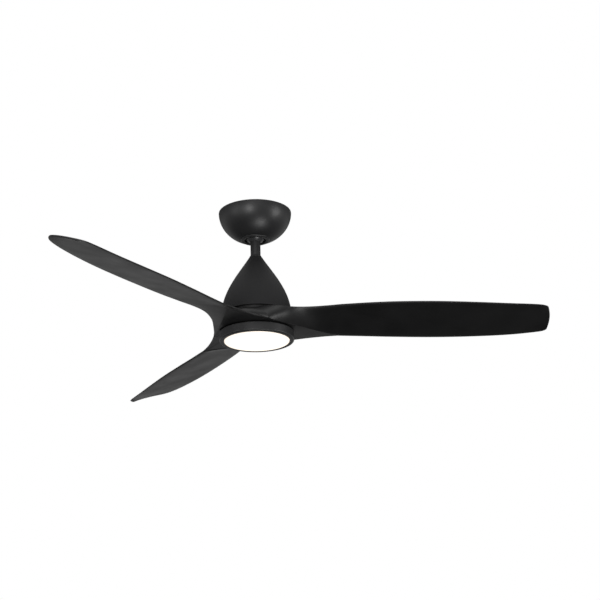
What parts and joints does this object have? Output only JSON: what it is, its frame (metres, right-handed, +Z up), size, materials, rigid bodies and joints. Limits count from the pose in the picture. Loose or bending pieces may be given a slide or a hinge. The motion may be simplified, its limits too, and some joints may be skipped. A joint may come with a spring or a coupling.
{
  "type": "ceiling fan with light",
  "caption": "Black three-blade ceiling fan: bowl canopy on a ball hanger, short downrod, ogive motor cover, swept blades on a turning hub and a round LED light with a twist-off opal lens.",
  "frame": {"origin": "on the fan's axis in the plane of the ceiling, at the centre of the bracket's slot pattern", "axes": "+Z up into the ceiling, +X along blade 1, +Y away from the viewer when blade 1 points right"},
  "size_m": [1.0968, 1.2201, 0.333],
  "materials": {
    "black_paint": "satin black powder coat",
    "cover_paint": "matte black powder coat",
    "black_trim": "satin black moulded plastic",
    "blade_black": "matte black moulded plastic",
    "zinc_steel": "zinc-plated steel",
    "black_screw": "black oxide",
    "ball_nylon": "black moulded nylon",
    "receiver_plastic": "dark ABS",
    "connector_plastic": "amber and white plastic",
    "ground_green": "green passivated steel",
    "lead_insulation": "insulated leads",
    "core_steel": "laminated electrical steel",
    "copper_wire": "enamelled copper",
    "bearing_steel": "ground bearing steel",
    "cast_aluminium": "die-cast aluminium",
    "ferrite": "sintered magnet",
    "circuit_board": "green solder mask",
    "white_board": "white solder mask and potting",
    "led_phosphor": "yellow phosphor",
    "opal_lens": "opal diffusing acrylic, lit"
  },
  "bodies": {
    "ceiling_mount": {"hanger_bracket": "zinc_steel", "canopy": "black_paint", "canopy_screws": "black_screw", "canopy_trim_ring": "black_trim", "receiver_case": "receiver_plastic", "receiver_cover": "receiver_plastic", "wire_connectors": "connector_plastic", "ground_screw": "ground_green"},
    "hanging": {"hanger_ball": "ball_nylon", "ball_cross_pin": "zinc_steel", "ball_set_screw": "zinc_steel", "downrod": "black_paint", "rod_leads": "lead_insulation", "neck_collar": "black_trim", "motor_yoke": "zinc_steel", "clevis_pin": "zinc_steel", "cotter_pin": "zinc_steel", "yoke_set_screws": "black_screw", "motor_cover": "cover_paint", "cover_screws": "zinc_steel", "motor_shaft": "zinc_steel", "stator_core": "core_steel", "stator_windings": "copper_wire", "spacer_sleeves": "cast_aluminium", "controller_board": "circuit_board", "bearing_inner_races": "bearing_steel", "retaining_rings": "black_screw", "light_plate": "zinc_steel", "shaft_nut": "zinc_steel", "light_housing": "black_trim", "light_screws": "zinc_steel", "led_drivers": "white_board", "led_tray": "cast_aluminium", "tray_screws": "zinc_steel", "led_board": "white_board", "led_chips": "led_phosphor"},
    "rotor": {"upper_bell": "cast_aluminium", "lower_bell": "cast_aluminium", "bell_screws": "zinc_steel", "flux_ring": "core_steel", "magnets": "ferrite", "bearing_outer_races": "bearing_steel", "bearing_balls": "bearing_steel", "rotor_hub": "blade_black", "hub_plate": "blade_black", "hub_screws": "zinc_steel", "blade_1": "blade_black", "blade_2": "blade_black", "blade_3": "blade_black", "blade_screws": "zinc_steel"},
    "lens": {"lens": "opal_lens"}
  },
  "joints": [
    {"name": "slope_tilt", "type": "hinge", "parent": "ceiling_mount", "child": "hanging", "pos_m": [0, 0, -0.052], "axis": [0, 1, 0], "range_deg": [-20, 20]},
    {"name": "rotor_spin", "type": "hinge", "parent": "hanging", "child": "rotor", "pos_m": [0, 0, -0.283], "axis": [0, 0, 1], "continuous": true},
    {"name": "lens_twist", "type": "hinge", "parent": "hanging", "child": "lens", "pos_m": [0, 0, -0.321], "axis": [0, 0, 1], "range_deg": [0, 18]}
  ]
}
